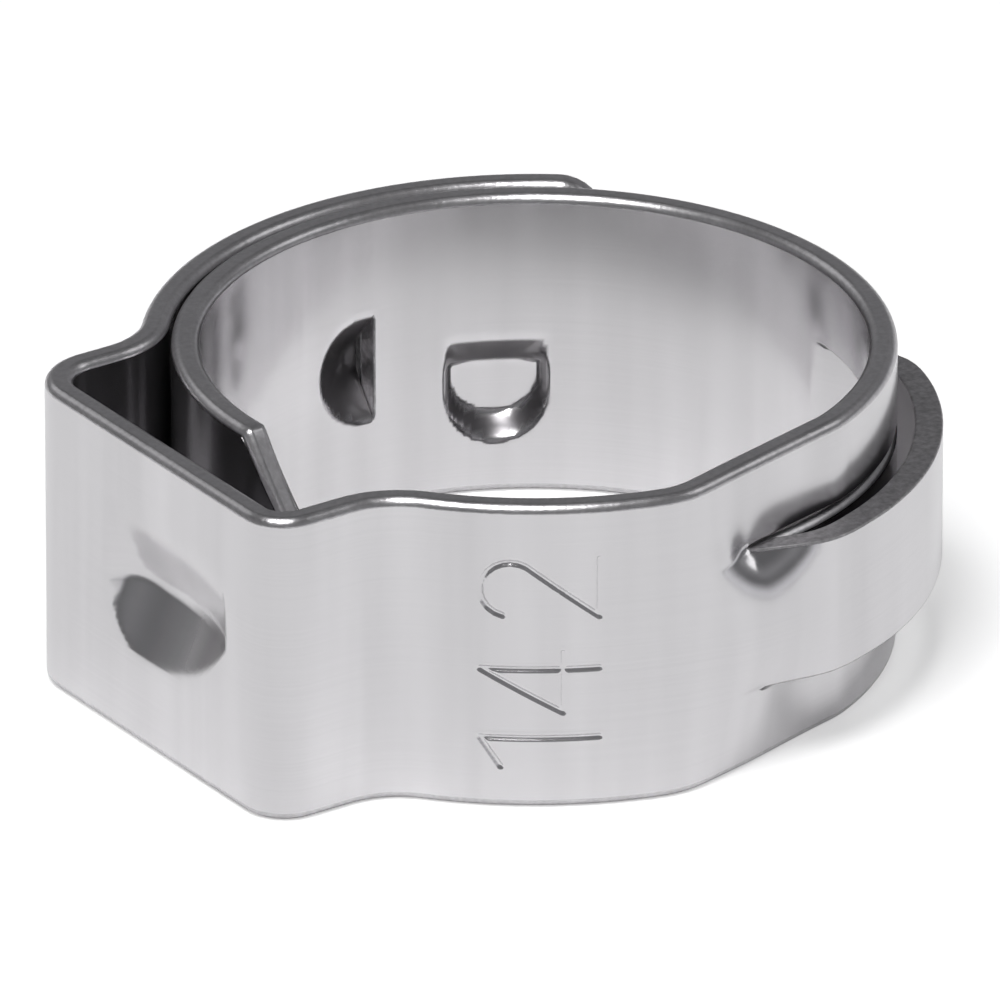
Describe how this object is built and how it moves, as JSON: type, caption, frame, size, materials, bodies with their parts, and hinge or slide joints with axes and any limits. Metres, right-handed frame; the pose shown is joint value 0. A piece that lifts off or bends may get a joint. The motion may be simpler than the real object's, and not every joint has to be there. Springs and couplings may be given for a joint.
{
  "type": "ear hose clamp",
  "caption": "Stepless ear clamp bent from one stainless steel strip, with a closing ear, hooked overlap and a tongue that slides in a raised channel.",
  "frame": {"origin": "on the bore's axis, in the plane of the strip's lower edge", "axes": "+Z along the bore's axis; +X towards the middle of the ear"},
  "size_m": [0.0183, 0.0172, 0.007],
  "materials": {
    "stainless_strip": "satin, with faint streaks across the strip"
  },
  "bodies": {
    "root": {"clamp_band": "stainless_strip"}
  },
  "joints": []
}
